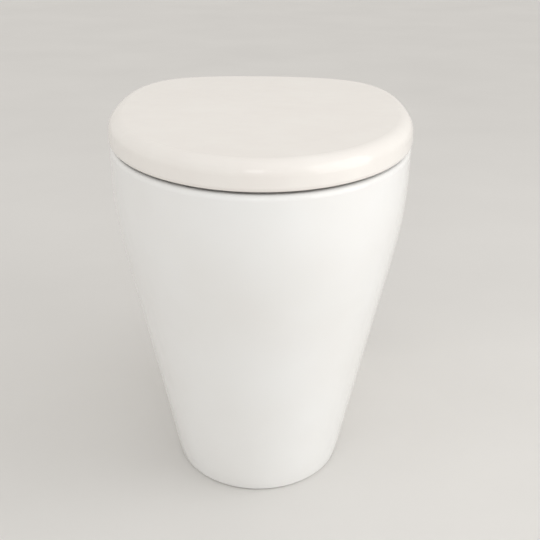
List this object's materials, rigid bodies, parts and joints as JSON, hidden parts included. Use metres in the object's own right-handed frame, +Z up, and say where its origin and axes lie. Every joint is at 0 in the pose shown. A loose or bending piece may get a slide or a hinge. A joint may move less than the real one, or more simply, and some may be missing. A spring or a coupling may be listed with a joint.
{
  "type": "back-to-wall toilet",
  "caption": "Floor-standing back-to-wall toilet pan with a tapered round skirt, a slim wrap-over lid and a soft-close seat on concealed hinges.",
  "frame": {"origin": "middle of the footprint on the floor: half way across, and half way from the wall plane to the front of the rim", "axes": "+Z up, -Y out of the front of the pan, +Y towards the wall, +X to the right for someone looking from the front towards the wall"},
  "size_m": [0.36, 0.54, 0.4475],
  "materials": {
    "china": "gloss",
    "duroplast": "gloss",
    "buffer_rubber": "matte",
    "gasket_rubber": "matte",
    "seal_rubber": "matte",
    "hinge_metal": "polished",
    "pin_steel": "satin",
    "nylon": "matte",
    "bracket_plastic": "matte",
    "cap_plastic": "gloss",
    "damper_plastic": "matte",
    "pipe_plastic": "satin"
  },
  "bodies": {
    "pan": {"pan": "china", "hinge_post_left": "hinge_metal", "hinge_pin_left": "pin_steel", "hinge_gasket_left": "gasket_rubber", "hinge_stud_left": "pin_steel", "hinge_sleeve_left": "gasket_rubber", "hinge_washer_left": "nylon", "hinge_nut_left": "nylon", "floor_bracket_left": "bracket_plastic", "side_screw_left": "pin_steel", "side_sleeve_left": "nylon", "side_cap_left": "cap_plastic", "hinge_post_right": "hinge_metal", "hinge_pin_right": "pin_steel", "hinge_gasket_right": "gasket_rubber", "hinge_stud_right": "pin_steel", "hinge_sleeve_right": "gasket_rubber", "hinge_washer_right": "nylon", "hinge_nut_right": "nylon", "floor_bracket_right": "bracket_plastic", "side_screw_right": "pin_steel", "side_sleeve_right": "nylon", "side_cap_right": "cap_plastic", "flush_pipe": "pipe_plastic", "inlet_seal": "seal_rubber", "drain_connector": "pipe_plastic", "outlet_seal": "seal_rubber"},
    "seat": {"seat": "duroplast", "seat_buffers": "buffer_rubber", "seat_damper": "damper_plastic", "seat_bush": "nylon"},
    "lid": {"lid": "duroplast", "lid_buffers": "buffer_rubber", "lid_damper": "damper_plastic", "lid_bush": "nylon"}
  },
  "joints": [
    {"name": "seat_hinge", "type": "hinge", "parent": "pan", "child": "seat", "pos_m": [0, 0.212, 0.4335], "axis": [-1, 0, 0], "range_deg": [0, 90]},
    {"name": "lid_hinge", "type": "hinge", "parent": "seat", "child": "lid", "pos_m": [0, 0.212, 0.4335], "axis": [-1, 0, 0], "range_deg": [0, 94]}
  ]
}
